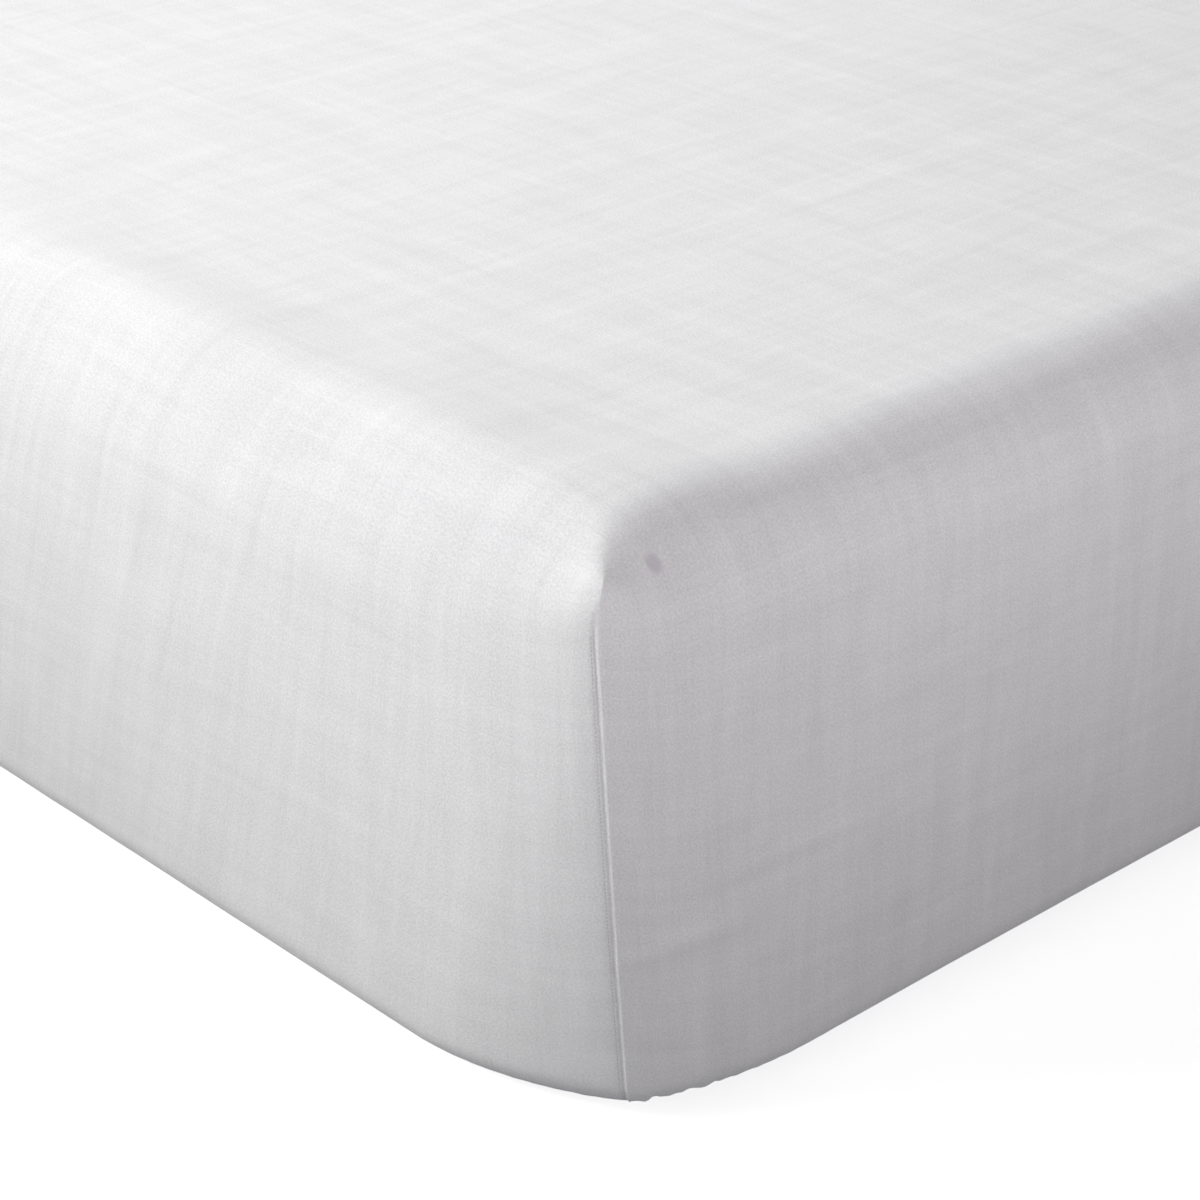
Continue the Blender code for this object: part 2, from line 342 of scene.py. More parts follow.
def shape_box(points, half, low, high, tuck=0.0):
    """Rounds the upright corners in plan and the long edges in section. A tuck rounds the
    long edges more. No turn reaches past the middle. Gives the points, the way out of the
    side at each, and the way out of the cloth."""
    side = np.where(points[:, :2] < 0, -1.0, 1.0)
    plan = np.abs(points[:, :2])
    height = points[:, 2]
    inward = np.clip((half - plan).min(axis=1), 0, None)
    fall = (high - height) / (high - low)

    tight = corner_value(points, "top_reach")
    wide = corner_value(points, "foot_reach")
    reach = tight + (wide - tight) * fall**TAPER
    reach = np.where(height >= high, reach - inward, reach + HEM_ROUNDING * inward)
    to_middle = np.clip((half - inward[:, None]).min(axis=1), LEAST_REACH, None)
    reach = np.clip(reach, LEAST_REACH, to_middle)

    core = half - inward[:, None] - reach[:, None]
    past_x, past_y = np.clip(plan - core, 0, None).T
    share = np.minimum(past_x, past_y) / np.maximum(np.maximum(past_x, past_y), 1e-9)
    spread = TOP_SPREAD + (FOOT_SPREAD - TOP_SPREAD) * fall
    turn = turn_at(share, reach, spread)
    curve_in, curve_along = corner_curve(share, reach, spread)
    first = (past_x >= past_y)[:, None]
    rounded = np.stack([reach - curve_in, curve_along], axis=1)
    outward = np.stack([np.cos(turn), np.sin(turn)], axis=1)
    rounded = np.where(first, rounded, rounded[:, ::-1])
    outward = np.where(first, outward, outward[:, ::-1])
    plan = np.minimum(plan, core) + rounded

    top_offset = corner_value(points, "top_offset")
    foot_offset = corner_value(points, "foot_offset")
    offset = (top_offset + (foot_offset - top_offset) * fall) * share**2
    past_head = np.where(height >= high, -inward, high - height) - HEAD_MIDDLE
    push = corner_value(points, "head") * bump(past_head, HEAD_HALF_WIDTH)
    offset += push * share**HEAD_POWER
    plan += offset[:, None] * np.array([np.sqrt(0.5), -np.sqrt(0.5)])

    edge = np.where(fall < 0.5, rim_radius(points, half), FOOT_EDGE_RADIUS) + tuck
    centre_in = np.maximum(inward, edge)
    centre_up = np.clip(height, low + edge, high - edge)
    out_of_centre = np.hypot(inward - centre_in, height - centre_up)
    tilt_out = (centre_in - inward) / out_of_centre
    tilt_up = (height - centre_up) / out_of_centre
    plan += outward * (inward - centre_in + edge * tilt_out)[:, None]
    level = centre_up + edge * tilt_up
    plan += outward * (BELLY * np.sin(np.pi * (level - low) / (high - low)))[:, None]
    outward = side * outward
    shaped = np.column_stack([side * plan, level])
    facing = np.column_stack([outward * tilt_out[:, None], tilt_up])
    return shaped, outward, facing


# %% Swells and sag
def up_the_cloth(points, side):
    """For one side: the height of each point, going on over the edge across the top and
    back under the foot, how far along it lies, and whether the cloth there is its own."""
    axis, sign = SIDES[side].axis, SIDES[side].sign
    inward = HALF[axis] - sign * points[:, axis]
    height = points[:, 2]
    up = np.where(height >= HEIGHT, HEIGHT + inward, height)
    up = np.where(height <= 0, -inward, up)
    own = (inward <= 1e-9) | (height >= HEIGHT) | (height <= 0)
    return up, points[:, 1 - axis], own


def swell(points, shaped, outward):
    """Adds the swells of the rim and of the sides."""
    moved = shaped.copy()
    for row in SWELLS:
        up, along, own = up_the_cloth(points, row.side)
        amount = bump(along - row.along, row.half_length)
        amount = amount * bump(up - row.up, row.half_up) * own
        moved[:, :2] += outward * (row.out * amount)[:, None]
        moved[:, 2] += row.rise * amount
    return moved


def sag(points, shaped, half, high):
    """Lets the top corners down a little."""
    from_corner = np.hypot(*(half - np.abs(points[:, :2])).T) / SAG_REACH
    down = (high - points[:, 2]) / SAG_REACH
    lower = shaped.copy()
    lower[:, 2] -= corner_value(points, "sag") * np.exp(-(from_corner**2) - down**2)
    return lower


# %% [markdown]
# ## Creases, seams and gathers
#
# The fine relief lies along the cloth's own normal. Creases are short soft troughs and
# ridges, listed one by one. The seam is a groove beside a narrow ridge, where the side
# panel's folded edge laps over the front panel's. At the foot the elastic pulls the
# cloth into small uneven gathers, strongest at the corner and gone along the sides. They
# could be sculpted, or painted as bump. As formulas they are true geometry, and they
# move along when a corner or a side is changed.

# %% Creases
# Each runs from along and up to a second such place. A minus height is a trough.
Crease = namedtuple("Crease", "side along up to_along to_up width height")
CREASES = (
    # A small pinch in the cloth, on the rim beside the photographed corner.
    Crease("right", -0.9770, 0.3110, -0.9735, 0.2950, 0.0026, -0.00120),
    Crease("right", -0.9810, 0.3080, -0.9790, 0.2970, 0.0016, 0.00050),
    # Drawn from the photographed corner's foot up into both sides.
    Crease("right", -1.035, 0.099, -0.905, 0.103, 0.0048, 0.00200),
    Crease("right", -1.000, 0.116, -0.900, 0.119, 0.0055, -0.00100),
    Crease("right", -0.960, 0.131, -0.810, 0.121, 0.0055, 0.00180),
    Crease("right", -0.985, 0.060, -0.870, 0.085, 0.0080, 0.00090),
    Crease("front", 0.695, 0.158, 0.750, 0.143, 0.0070, 0.00080),
    Crease("front", 0.660, 0.110, 0.745, 0.080, 0.0090, -0.00060),
    # Across the top, where the cloth lies slack.
    Crease("right", -0.760, 0.520, -0.560, 0.600, 0.030, -0.00060),
    Crease("right", -0.700, 0.440, -0.450, 0.500, 0.025, 0.00050),
)
# A crease has faded out this far from its middle, as a share of its length.
CREASE_FADE = 0.62


def crease_height(points):
    """How far each point is raised by the creases."""
    raised = np.zeros(len(points))
    for row in CREASES:
        up, along, own = up_the_cloth(points, row.side)
        start = np.array([row.along, row.up])
        run = np.array([row.to_along, row.to_up]) - start
        length = np.hypot(*run)
        offset = np.stack([along, up], axis=1) - start
        share = offset @ run / length**2
        aside = np.abs(offset @ np.array([-run[1], run[0]])) / length
        taper = bump(share - 0.5, CREASE_FADE)
        raised += row.height * taper * np.exp(-((aside / row.width) ** 2)) * own
    return raised


print(len(CREASES), "creases, the highest", max(row.height for row in CREASES), "m")


# %% Corner seams
# The ridge and the groove each have a place past the seam, a width and a height. The
# curve round a corner is shorter by the curve's share than the box's edges are there.
SEAM_TOP = HEIGHT - 0.018
SEAM_FADE = 0.010
SEAM_RIDGE = (0.0007, 0.00085, 0.0007)
SEAM_GROOVE = (-0.0011, 0.0010, 0.0008)
CURVE_SHARE = np.pi / 4


def past_seam(points):
    """Distance round the corner from the seam: plus on the long side, minus on the short."""
    inward = HALF - np.abs(points[:, :2])
    past = np.where(inward[:, 0] <= inward[:, 1], inward[:, 1], -inward[:, 0])
    return past * CURVE_SHARE


def seam_height(points):
    """How far each point is raised by the ridge of the seam, or let down beside it."""
    past = past_seam(points)
    start = np.clip((SEAM_TOP - points[:, 2]) / SEAM_FADE, 0, 1)
    under = points[:, 2] <= 0
    raised = np.zeros(len(points))
    for (place, width, height), sign in ((SEAM_RIDGE, 1), (SEAM_GROOVE, -1)):
        raised += sign * height * np.exp(-(((past - place) / width) ** 2))
    return raised * start * np.where(under, 0, 1)


print("the seams start at", SEAM_TOP, "m and are", SEAM_RIDGE[2], "m high")


# %% Gathers along the foot
Wave = namedtuple("Wave", "pitch height phase")
GATHERS = (
    Wave(0.0105, 0.00055, 0.4),
    Wave(0.0163, 0.00045, 2.1),
    Wave(0.0074, 0.00025, 5.0),
)
GATHER_REACH = 0.085
GATHER_UP = 0.030
GATHER_FADE = 1.5
SHORT_SIDE_SHARE = 0.3
SHARE_BLEND = 0.01
SHARE_BESIDE_LOBES = 0.5
Lobe = namedtuple("Lobe", "past half_width height")
LOBES = (
    Lobe(0.0085, 0.0065, 0.0013),
    Lobe(0.0160, 0.0035, -0.0010),
    Lobe(0.0250, 0.0080, 0.0006),
    Lobe(0.0350, 0.0040, -0.0008),
    Lobe(0.0440, 0.0060, 0.0008),
    Lobe(0.0510, 0.0035, -0.0008),
)


def gather_height(points):
    """The small folds that the elastic draws in round each corner's foot. They are weaker
    on the short sides. The photographed corner has some lobes of its own."""
    past = past_seam(points)
    inward = np.clip((HALF - np.abs(points[:, :2])).min(axis=1), 0, None)
    folds = sum(w.height * np.sin(2 * np.pi * past / w.pitch + w.phase) for w in GATHERS)
    folds *= SHORT_SIDE_SHARE + (1 - SHORT_SIDE_SHARE) * smooth_step(past / SHARE_BLEND + 0.5)
    photographed = (points[:, 0] > 0) & (points[:, 1] < 0)
    lobes = sum(w.height * bump(past - w.past, w.half_width) for w in LOBES)
    folds = np.where(photographed, SHARE_BESIDE_LOBES * folds + lobes, folds)
    near_corner = np.exp(-((past / GATHER_REACH) ** 2))
    near_foot = np.clip(1 - points[:, 2] / GATHER_UP, 0, 1) ** GATHER_FADE
    most = sum(w.height for w in GATHERS)
    below = points[:, 2] <= 0
    folds = np.where(below & (inward > FOOT_EDGE_RADIUS / 2), folds - most, folds)
    return folds * near_corner * near_foot


print(len(GATHERS), "waves of gathers at each corner's foot, and", len(LOBES), "lobes at one")


# %% A little unevenness all over
# Each row is how many undulations there are to the metre, and their height.
SLACK_SCALES = ((9.0, 0.00045), (24.0, 0.00022), (60.0, 0.00008))


def slack_height(points):
    """Very low, wide undulations, as of cloth that isn't ironed."""
    raised = np.zeros(len(points))
    for scale, height in SLACK_SCALES:
        raised += height * np.array([noise.noise(Vector(p) * scale) for p in points])
    return raised * np.where(points[:, 2] <= 0, 0, 1)


print("undulations of up to", SLACK_SCALES[0][1], "m")


# %% All the relief
def relief_height(points):
    """How far each point is raised or let down by all of these."""
    kinds = (crease_height, seam_height, gather_height, slack_height)
    return sum(kind(points) for kind in kinds)


# %% [markdown]
# ## The sheet
#
# The outer face is fine and the inner face, which nobody sees, is coarse. They are
# joined along the hem, so the cloth is one closed thin body. Each corner of a quad is
# given its place in the flat cut as a UV in metres, measured along the cloth and round
# its edges. The weave follows that map, so it runs with the threads over the edges and
# breaks off at the seams, as real cloth does.

# %% Place on the flat cut
def past_rim(edge, inward):
    """Cloth from the start of the top edge's arc to a point of the top panel."""
    return np.where(inward < edge, edge * np.arctan2(edge - inward, edge), edge - inward)


def down_side(edge, height):
    """The same, to a point of a side."""
    depth = HEIGHT - height
    foot = FOOT_EDGE_RADIUS
    on_rim = edge * (np.pi / 2 - np.arctan2(edge - depth, edge))
    flat = edge * np.pi / 2 + depth - edge
    on_foot = edge * np.pi / 2 + HEIGHT - edge - foot + foot * np.arctan2(foot - height, foot)
    return np.where(depth < edge, on_rim, np.where(height < foot, on_foot, flat))


def along_hem(edge, inward):
    """The same, to a point of the border under the mattress."""
    foot = FOOT_EDGE_RADIUS
    start = edge * np.pi / 2 + HEIGHT - edge - foot + foot * np.pi / 2
    on_foot = -foot * np.arctan2(foot - inward, foot)
    return start + np.where(inward < foot, on_foot, inward - foot)


# The threads of the front lean away from the photographed corner as they fall, more so
# further from it.
LEAN_START = 0.06
LEAN_PER_METRE = 1.15
LEAN_MOST = 0.30


def flat_cut(points, panel):
    """The place in the flat cut, in metres, of a panel's points."""
    side = np.where(points[:, :2] < 0, -1.0, 1.0)
    inward = HALF - np.abs(points[:, :2])
    edge = rim_radius(points, HALF)
    if panel == TOP:
        run = np.stack([past_rim(edge, inward[:, axis]) for axis in (0, 1)], axis=1)
        return side * (HALF - edge[:, None] + run)
    cut = points[:, :2].copy()
    axes = {FRONT: [1], BACK: [1], LEFT: [0], RIGHT: [0], UNDER: [0, 1]}[panel]
    for axis in axes:
        if panel == UNDER:
            mine = inward[:, axis] <= inward[:, 1 - axis]
            run = along_hem(edge, inward[:, axis])
        else:
            mine = np.ones(len(points), bool)
            run = down_side(edge, points[:, 2])
        cut[mine, axis] = (side[:, axis] * (HALF[axis] - edge + run))[mine]
    return cut


def lean_threads(cut, panel):
    """Lets the threads of the front fan out from the photographed corner."""
    if panel != FRONT:
        return cut
    leaning = cut.copy()
    fall = np.clip(-cut[:, 1] - HALF[1], 0, None)
    from_corner = HALF[0] - cut[:, 0]
    lean = np.clip((from_corner - LEAN_START) * LEAN_PER_METRE, 0, LEAN_MOST)
    leaning[:, 0] += lean * fall
    return leaning


# %% Build the sheet
def drape(points, inset=0.0):
    """The cloth's face over the block, inset from its outer face."""
    shaped, outward, facing = shape_box(points, HALF, 0, HEIGHT)
    shaped = sag(points, shaped, HALF, HEIGHT)
    return swell(points, shaped, outward) - inset * facing, facing


outer, outer_faces, outer_panels = skin_of_box(
    lines_across, lines_along, lines_up, opening=TUCKED_UNDER
)
relief = relief_height(outer)
outer_shaped, facing = drape(outer)
outer_shaped += facing * relief[:, None]
print("outer face:", len(outer_faces), "quads, relief from", relief.min(), "to", relief.max())

# %% The coarse inner face
INNER_END = Spacing((0.0, 0.0300, 0.1300, 0.2000), (0.0080, 0.0090, 0.0260, 0.0700))
INNER_UPRIGHT = Spacing((0.0, 0.0300, 0.0600), (0.0070, 0.0080, 0.0400))

inner, inner_faces, _ = skin_of_box(
    graded(-HALF[0], HALF[0], INNER_END, INNER_END),
    graded(-HALF[1], HALF[1], INNER_END, INNER_END),
    graded(0, HEIGHT, INNER_UPRIGHT, INNER_UPRIGHT),
    opening=TUCKED_UNDER,
)
inner_shaped, _ = drape(inner, inset=CLOTH_THICKNESS)
print("inner face:", len(inner_faces), "quads")


# %% Join both faces along the hem
def joined_cloth(name, outside, outside_faces, inside, inside_faces):
    """One closed mesh of an outer face and a turned-over inner face."""
    build = bmesh.new()
    corners = [build.verts.new(p) for p in np.vstack([outside, inside])]
    for face in outside_faces:
        build.faces.new([corners[i] for i in face])
    for face in inside_faces[:, ::-1] + len(outside):
        build.faces.new([corners[i] for i in face])
    rims = [edge for edge in build.edges if edge.is_boundary]
    bmesh.ops.bridge_loops(build, edges=rims)
    mesh = bpy.data.meshes.new(name)
    build.to_mesh(mesh)
    build.free()
    return mesh


sheet_mesh = joined_cloth("sheet_cloth", outer_shaped, outer_faces, inner_shaped, inner_faces)
sheet_mesh.shade_smooth()
sheet = bpy.data.objects.new("fitted_sheet", sheet_mesh)
scene.collection.objects.link(sheet)
triangles = sum(len(p.vertices) - 2 for p in sheet_mesh.polygons)
print("the sheet has", triangles, "triangles")

# %% Lay the map of the flat cut
CUT_MAP = "flat_cut"
outer_cut = np.zeros((len(outer_faces), 4, 2))
for panel in range(6):
    mine = outer_panels == panel
    spots = outer[outer_faces[mine]].reshape(-1, 3)
    cut = lean_threads(flat_cut(spots, panel), panel)
    outer_cut[mine] = cut.reshape(-1, 4, 2)
cut_map = sheet_mesh.uv_layers.new(name=CUT_MAP)
everywhere = np.zeros((len(sheet_mesh.loops), 2), np.float32)
everywhere[: outer_cut.size // 2] = outer_cut.reshape(-1, 2)
cut_map.uv.foreach_set("vector", everywhere.ravel())
print("flat cut spans", np.ptp(outer_cut.reshape(-1, 2), axis=0), "m")

# %% [markdown]
# ### Stitches
#
# Each corner seam is topstitched through the front or back panel, 2 mm from the fold: a
# row of small, tight stitches that sink into the cloth. Every stitch is a short bead,
# thick in the middle, laid along the shape that the cloth has there. Bump in the cloth
# could hint at them, but beads catch the light as thread does.

# %% Sew the corner seams
STITCH_PITCH = 0.0020
STITCH_LENGTH = 0.0014
STITCH_HALF_THICKNESS = 0.00024
STITCH_PAST = 0.0023
STITCH_SUNK = 0.00005
STITCH_FOOT = 0.014
# Each ring has a place along the stitch and a thickness, as shares of the whole.
STITCH_RINGS = ((-0.5, 0.35), (-0.2, 1.0), (0.2, 1.0), (0.5, 0.35))
STITCH_SIDES = 5


def seam_row(corner):
    """Points down a corner's row of stitches, and the way out of the cloth at each."""
    height = np.arange(SEAM_TOP - SEAM_FADE, STITCH_FOOT, -STITCH_PITCH / 4)
    spots = np.zeros((len(height), 3))
    spots[:, 0] = corner.x * (HALF[0] - STITCH_PAST / CURVE_SHARE)
    spots[:, 1] = corner.y * HALF[1]
    spots[:, 2] = height
    shaped, out = drape(spots)
    return shaped + out * (relief_height(spots) - STITCH_SUNK)[:, None], out


def bead(middle, forward, out):
    """Points of one stitch: rings round its line, from end to end."""
    aside = np.cross(forward, out)
    points = []
    for along, size in STITCH_RINGS:
        for turn in np.arange(STITCH_SIDES) * 2 * np.pi / STITCH_SIDES:
            round_it = np.cos(turn) * out + np.sin(turn) * aside
            points.append(
                middle
                + forward * along * STITCH_LENGTH
                + round_it * size * STITCH_HALF_THICKNESS
            )
    return points


def bead_faces(first):
    """Faces of one stitch whose points start at the number first: a wall and two ends."""
    n = STITCH_SIDES
    faces = [[first + k for k in reversed(range(n))]]
    for ring in range(len(STITCH_RINGS) - 1):
        for k in range(n):
            near, far = first + ring * n, first + (ring + 1) * n
            faces.append([near + k, near + (k + 1) % n, far + (k + 1) % n, far + k])
    faces.append([first + (len(STITCH_RINGS) - 1) * n + k for k in range(n)])
    return faces


stitch_points = []
stitch_faces = []
for corner in CORNERS:
    row, out = seam_row(corner)
    way = np.gradient(row, axis=0)
    way /= np.linalg.norm(way, axis=1)[:, None]
    walked = np.concatenate([[0], np.cumsum(np.linalg.norm(np.diff(row, axis=0), axis=1))])
    for distance in np.arange(STITCH_PITCH, walked[-1] - STITCH_PITCH, STITCH_PITCH):
        here = np.searchsorted(walked, distance)
        stitch_faces += bead_faces(len(stitch_points))
        stitch_points += bead(row[here], way[here], out[here])
stitch_mesh = bpy.data.meshes.new("seam_stitches")
stitch_mesh.from_pydata([p.tolist() for p in stitch_points], [], stitch_faces)
stitch_mesh.shade_smooth()
stitches = bpy.data.objects.new("seam_stitches", stitch_mesh)
scene.collection.objects.link(stitches)
print("sewn with", len(stitch_points) // STITCH_SIDES // len(STITCH_RINGS), "stitches")

# %% [markdown]
# ## The mattress
#
# It is seen only from below, inside the hem: a plain padded block in a firm off-white
# cover. It could be a cube with a bevel, but then the sheet would not lie close to it at
# the corners, so it takes the same roundings as the sheet, a little tighter. Its
# underside is drawn in by shallow crossing rows, as a padded cover is.

# %% Build the mattress
TOP_CLEARANCE = 0.0004
SIDE_CLEARANCE = 0.0020
MATTRESS_TUCK = 0.007
QUILT_PITCH = 0.085
QUILT_DEPTH = 0.0030
QUILT_SHARPNESS = 0.5
QUILT_MARGIN = 0.05
MATTRESS_END = Spacing((0.0, 0.0300, 0.1300), (0.0060, 0.0090, 0.0140))

block_half = HALF - CLOTH_THICKNESS - SIDE_CLEARANCE
block_low = CLOTH_THICKNESS + TOP_CLEARANCE
block_high = HEIGHT - block_low
block, block_faces, _ = skin_of_box(
    graded(-block_half[0], block_half[0], MATTRESS_END, MATTRESS_END),
    graded(-block_half[1], block_half[1], MATTRESS_END, MATTRESS_END),
    graded(block_low, block_high, INNER_UPRIGHT, INNER_UPRIGHT),
)
block_shaped, _, _ = shape_box(block, block_half, block_low, block_high, MATTRESS_TUCK)
block_shaped = sag(block, block_shaped, block_half, block_high)
diagonals = [(block[:, 0] + turn * block[:, 1]) / QUILT_PITCH * np.pi for turn in (1, -1)]
stitched = np.maximum(*(1 - np.abs(np.sin(d)) ** QUILT_SHARPNESS for d in diagonals))
underneath = block[:, 2] <= block_low
from_edge = (block_half - np.abs(block[:, :2])).min(axis=1)
inside_hem = np.clip(from_edge / QUILT_MARGIN - 1, 0, 1)
block_shaped[:, 2] += QUILT_DEPTH * stitched * underneath * inside_hem

mattress_mesh = bpy.data.meshes.new("mattress_cover")
mattress_mesh.from_pydata(block_shaped.tolist(), [], block_faces.tolist())
mattress_mesh.shade_smooth()
mattress = bpy.data.objects.new("padded_mattress", mattress_mesh)
scene.collection.objects.link(mattress)
print("the mattress has", 2 * len(block_faces), "triangles")

# %% [markdown]
# ## Materials
#
# Cloth is matt and scatters light like chalk. The shader is the Principled one at a high
# roughness, and the cotton has a thin sheen for the fuzz of fibre ends that lightens a
# grazing view. Nothing is an image: stretched noise makes the threads, so they stay
# sharp from near and never repeat.

# %% Colours and nodes
def linear(hex_colour):
    """The linear colour of an sRGB hex value."""
    parts = [int(hex_colour[i : i + 2], 16) / 255 for i in (1, 3, 5)]
    curve = [c / 12.92 if c <= 0.04045 else ((c + 0.055) / 1.055) ** 2.4 for c in parts]
    return (*curve, 1.0)


def add_node(tree, kind, inputs=None, **settings):
    """Adds a node, sets its settings, and sets or links its inputs."""
    node = tree.nodes.new(kind)
    for name, value in settings.items():
        setattr(node, name, value)
    for name, value in (inputs or {}).items():
        if isinstance(value, bpy.types.NodeSocket):
            tree.links.new(value, node.inputs[name])
        else:
            node.inputs[name].default_value = value
    return node


def new_material(name):
    """A new node material, its tree and its shader."""
    material = bpy.data.materials.new(name)
    material.use_nodes = True
    tree = material.node_tree
    return material, tree, tree.nodes["Principled BSDF"]


# %% [markdown]
# ### Slub cotton
#
# Slub yarn is spun unevenly, so some threads are thicker for a hand's length or less.
# In a white cloth they show as faint streaks that cross at right angles: soft bands
# about 20 mm wide, where several lie together, narrower ones of 7 mm and short threads
# of 2 mm. The true threads are about 0.3 mm apart, finer than a pixel of the render, so
# the plain weave is drawn coarser, as a grain of 1.1 mm. It is mostly in the colour,
# because relief as low as that is lost in a render of few samples.

# %% Streaks and grain
# Long and wide are in metres of cloth, and the weight is how much a streak counts. The
# crosswise streaks are read from another place of the noise.
Streak = namedtuple("Streak", "long wide weight detail distortion")
BAND = Streak(0.150, 0.0200, 1.00, 1.0, 0.5)
SLUB = Streak(0.080, 0.0066, 1.00, 1.5, 0.6)
THREAD = Streak(0.016, 0.0024, 0.40, 1.0, 0.3)
WEAVE = Streak(0.0011, 0.0011, 1.0, 2.0, 0.0)
CROSSWISE_PLACE = (3.7, 1.9, 0)


def combined(tree, operation, first, second):
    """One sum, product or other result of two values."""
    node = add_node(tree, "ShaderNodeMath", {0: first, 1: second}, operation=operation)
    return node.outputs[0]


def streaks(tree, uv, streak, crosswise):
    """Noise whose grains are as long and as wide as given, in metres of cloth."""
    scale = (1 / streak.long, 1 / streak.wide, 1)
    if crosswise:
        scale = (scale[1], scale[0], 1)
    place = CROSSWISE_PLACE if crosswise else (0, 0, 0)
    spread = add_node(
        tree, "ShaderNodeMapping", {"Vector": uv, "Scale": scale, "Location": place}
    )
    grain = add_node(
        tree,
        "ShaderNodeTexNoise",
        {
            "Vector": spread.outputs["Vector"],
            "Scale": 1.0,
            "Detail": streak.detail,
            "Distortion": streak.distortion,
        },
        noise_dimensions="2D",
    )
    return combined(tree, "SUBTRACT", grain.outputs["Fac"], 0.5)


# %% Level threads show less on the sides
# Painted light: level streaks are drawn fainter on the sides, where the light shows their
# relief less.
LEVEL_SHARE = 0.75
DROP_BLEND = 0.03


def thread_share(tree, place, half):
    """How far threads show that run level on the sides past half: 1 on the top, less on
    the sides: their streaks are painted fainter there, where the light shows their relief
    less."""
    from_middle = combined(tree, "ABSOLUTE", place, 0.0)
    share = add_node(
        tree,
        "ShaderNodeMapRange",
        {
            "Value": from_middle,
            "From Min": half - DROP_BLEND,
            "From Max": half + DROP_BLEND,
            "To Min": 1.0,
            "To Max": LEVEL_SHARE,
        },
    )
    return share.outputs["Result"]


# %% The shade in the pinch
# Where the small pinch lies on the flat cut, half its length and width there, and its
# turn. Nearness is 1 in its middle and 0 at its edge, and the shade is full from the
# given nearness on.
PINCH_PLACE = (0.7515, -0.9745, 0)
PINCH_SIZE = (0.0058, 0.0052, 1)
PINCH_TURN = (0, 0, 0.15)
PINCH_FULL = 0.6
PINCH_SHADE = linear("#DEDBE0")


def shade_in_pinch(tree, uv, colour):
    """Darkens the cloth in the pinch, which is too small to throw a shadow of its own."""
    spot = add_node(
        tree,
        "ShaderNodeMapping",
        {"Vector": uv, "Location": PINCH_PLACE, "Rotation": PINCH_TURN, "Scale": PINCH_SIZE},
        vector_type="TEXTURE",
    )
    nearness = add_node(
        tree,
        "ShaderNodeTexGradient",
        {"Vector": spot.outputs["Vector"]},
        gradient_type="SPHERICAL",
    )
    depth = add_node(
        tree,
        "ShaderNodeMapRange",
        {"Value": nearness.outputs["Fac"], "From Max": PINCH_FULL},
        interpolation_type="SMOOTHSTEP",
    )
    mixed = add_node(
        tree,
        "ShaderNodeMix",
        {"Factor": depth.outputs["Result"], "A": colour, "B": PINCH_SHADE},
        data_type="RGBA",
    )
    return mixed.outputs["Result"]


# %% The whole cotton
# The contrasts are how far the streaks and the grain take the colour from dark to light,
# and the reliefs are their heights in metres.
DARK_COTTON = linear("#E1E1E1")
LIGHT_COTTON = linear("#FFFFFF")
COTTON_CONTRAST = 0.26
WEAVE_CONTRAST = 1.3
SLUB_RELIEF = 0.00004
WEAVE_RELIEF = 0.00008


def slub_cotton():
    """White cotton with streaks both ways, the grain of the weave, and the pinch's shade."""
    material, tree, shader = new_material("white slub cotton, plain weave")
    uv = add_node(tree, "ShaderNodeUVMap", uv_map=CUT_MAP).outputs["UV"]
    place = add_node(tree, "ShaderNodeSeparateXYZ", {"Vector": uv})
    level_in_front = thread_share(tree, place.outputs["Y"], HALF[1])
    level_beside = thread_share(tree, place.outputs["X"], HALF[0])
    total = 0.0
    for crosswise, share in ((False, level_in_front), (True, level_beside)):
        for streak in (BAND, SLUB, THREAD):
            one = streaks(tree, uv, streak, crosswise)
            one = combined(tree, "MULTIPLY", one, streak.weight)
            one = combined(tree, "MULTIPLY", one, share)
            total = combined(tree, "ADD", one, total)
    weave = streaks(tree, uv, WEAVE, False)

    shade = combined(tree, "MULTIPLY", total, COTTON_CONTRAST)
    shade = combined(tree, "ADD", shade, combined(tree, "MULTIPLY", weave, WEAVE_CONTRAST))
    shade = combined(tree, "ADD", shade, 0.5)
    colour = add_node(
        tree,
        "ShaderNodeMix",
        {"Factor": shade, "A": DARK_COTTON, "B": LIGHT_COTTON},
        data_type="RGBA",
    )
    pinched = shade_in_pinch(tree, uv, colour.outputs["Result"])
    tree.links.new(pinched, shader.inputs["Base Color"])

    slub_relief = add_node(
        tree, "ShaderNodeBump", {"Height": total, "Distance": SLUB_RELIEF, "Strength": 1.0}
    )
    weave_relief = add_node(
        tree,
        "ShaderNodeBump",
        {
            "Height": weave,
            "Distance": WEAVE_RELIEF,
            "Strength": 1.0,
            "Normal": slub_relief.outputs["Normal"],
        },
    )
    tree.links.new(weave_relief.outputs["Normal"], shader.inputs["Normal"])
    shader.inputs["Roughness"].default_value = 0.9
    shader.inputs["Specular IOR Level"].default_value = 0.3
    shader.inputs["Sheen Weight"].default_value = 0.12
    shader.inputs["Sheen Roughness"].default_value = 0.5
    return material


sheet_mesh.materials.append(slub_cotton())
print("made", sheet_mesh.materials[0].name)

# %% [markdown]
# ### Sewing thread
#
# White polyester thread is smoother than the cloth, and twisted. Its colour is darker than
# the sheet's: painted shade where each stitch pulls down into the cloth. The twist is a
# wave texture whose dark bands are painted shade between the plies, which are too fine to
# be worth geometry. A diagonal wave of the scale 1 has its crests 0.36 m apart, and those
# of the thread are 0.4 mm apart.

# %% Sewing thread
CREST_DISTANCE = 2 * math.pi / (10 * math.sqrt(3))
TWIST_PITCH = 0.000403


